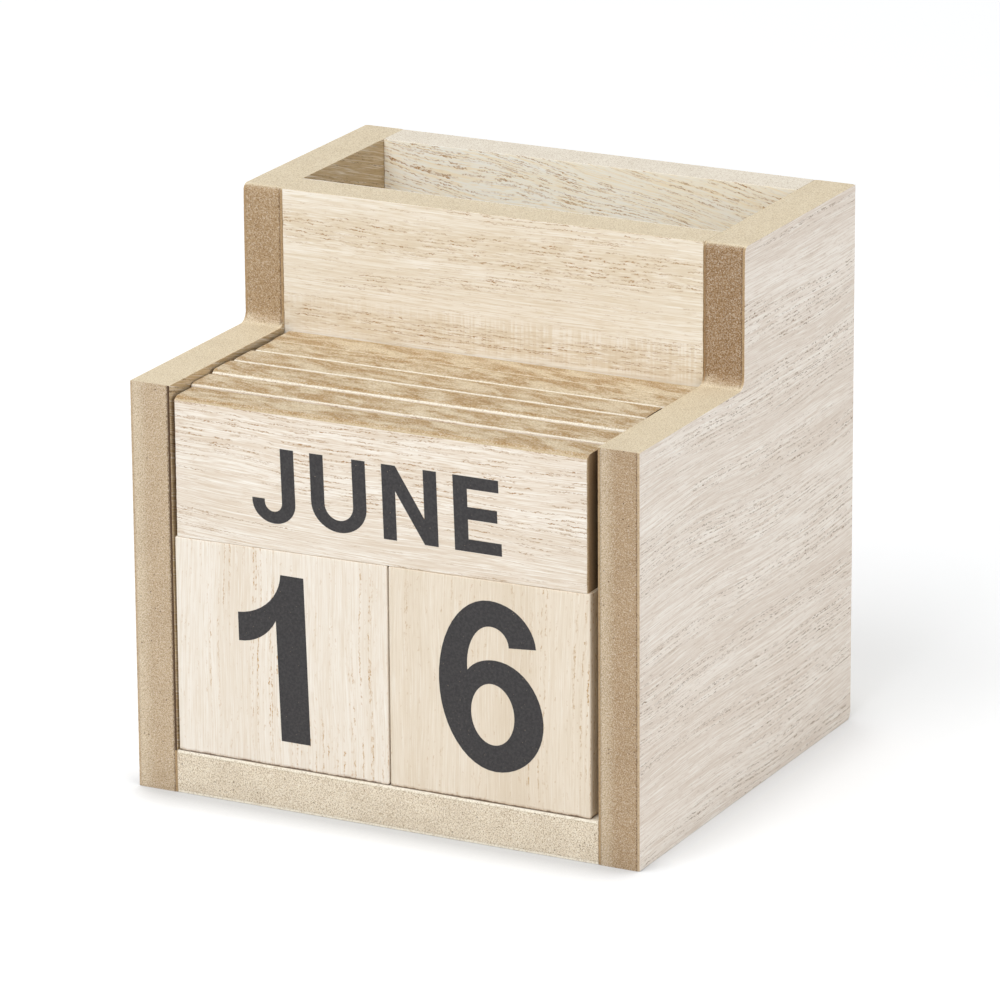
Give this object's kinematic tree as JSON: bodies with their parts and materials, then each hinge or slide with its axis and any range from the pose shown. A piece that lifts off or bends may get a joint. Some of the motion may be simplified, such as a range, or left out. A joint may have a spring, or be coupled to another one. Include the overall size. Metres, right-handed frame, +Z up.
{
  "type": "perpetual desk calendar with pen compartment",
  "caption": "stepped wooden desk box with month planks standing on day blocks in its low front bay and an open-topped pen compartment behind",
  "frame": {"origin": "middle of the footprint, on the desk", "axes": "+Z up, -Y the front with the month planks and day blocks, +X to the right as seen from the front"},
  "size_m": [0.11, 0.098, 0.112],
  "materials": {
    "board_veneer": "pale open-pored wood veneer, unfinished and matte",
    "board_core": "sawn and sanded fibreboard edge, granular and matte",
    "plank_core": "sanded wood edge, cloudy tan and matte",
    "plank_veneer": "pale wood veneer with dark pore dashes, matte",
    "left_block_wood": "pale smooth sanded wood with upright grain, matte",
    "right_block_wood": "smooth sanded honey-coloured wood, matte"
  },
  "bodies": {
    "case": {"left_side_outer_veneer": "board_veneer", "left_side_core": "board_core", "left_side_inner_veneer": "board_veneer", "right_side_outer_veneer": "board_veneer", "right_side_core": "board_core", "right_side_inner_veneer": "board_veneer", "floor_bottom_veneer": "board_veneer", "floor_core": "board_core", "floor_top_veneer": "board_veneer", "partition_front_veneer": "board_veneer", "partition_core": "board_core", "partition_rear_veneer": "board_veneer", "back_inner_veneer": "board_veneer", "back_core": "board_core", "back_outer_veneer": "board_veneer"},
    "month_plank_1": {"month_plank_1_front_veneer": "plank_veneer", "month_plank_1_core": "plank_core", "month_plank_1_rear_veneer": "plank_veneer"},
    "month_plank_2": {"month_plank_2_front_veneer": "plank_veneer", "month_plank_2_core": "plank_core", "month_plank_2_rear_veneer": "plank_veneer"},
    "month_plank_3": {"month_plank_3_front_veneer": "plank_veneer", "month_plank_3_core": "plank_core", "month_plank_3_rear_veneer": "plank_veneer"},
    "month_plank_4": {"month_plank_4_front_veneer": "plank_veneer", "month_plank_4_core": "plank_core", "month_plank_4_rear_veneer": "plank_veneer"},
    "month_plank_5": {"month_plank_5_front_veneer": "plank_veneer", "month_plank_5_core": "plank_core", "month_plank_5_rear_veneer": "plank_veneer"},
    "month_plank_6": {"month_plank_6_front_veneer": "plank_veneer", "month_plank_6_core": "plank_core", "month_plank_6_rear_veneer": "plank_veneer"},
    "left_day_block": {"left_day_block": "left_block_wood"},
    "right_day_block": {"right_day_block": "right_block_wood"}
  },
  "joints": [
    {"name": "plank_1_lift", "type": "slide", "parent": "case", "child": "month_plank_1", "axis": [0, 0, 1], "range_m": [0, 0.032]},
    {"name": "plank_2_lift", "type": "slide", "parent": "case", "child": "month_plank_2", "axis": [0, 0, 1], "range_m": [0, 0.032]},
    {"name": "plank_3_lift", "type": "slide", "parent": "case", "child": "month_plank_3", "axis": [0, 0, 1], "range_m": [0, 0.032]},
    {"name": "plank_4_lift", "type": "slide", "parent": "case", "child": "month_plank_4", "axis": [0, 0, 1], "range_m": [0, 0.032]},
    {"name": "plank_5_lift", "type": "slide", "parent": "case", "child": "month_plank_5", "axis": [0, 0, 1], "range_m": [0, 0.032]},
    {"name": "plank_6_lift", "type": "slide", "parent": "case", "child": "month_plank_6", "axis": [0, 0, 1], "range_m": [0, 0.032]},
    {"name": "left_block_pull", "type": "slide", "parent": "case", "child": "left_day_block", "axis": [0, -1, 0], "range_m": [0, 0.048]},
    {"name": "right_block_pull", "type": "slide", "parent": "case", "child": "right_day_block", "axis": [0, -1, 0], "range_m": [0, 0.048]}
  ]
}
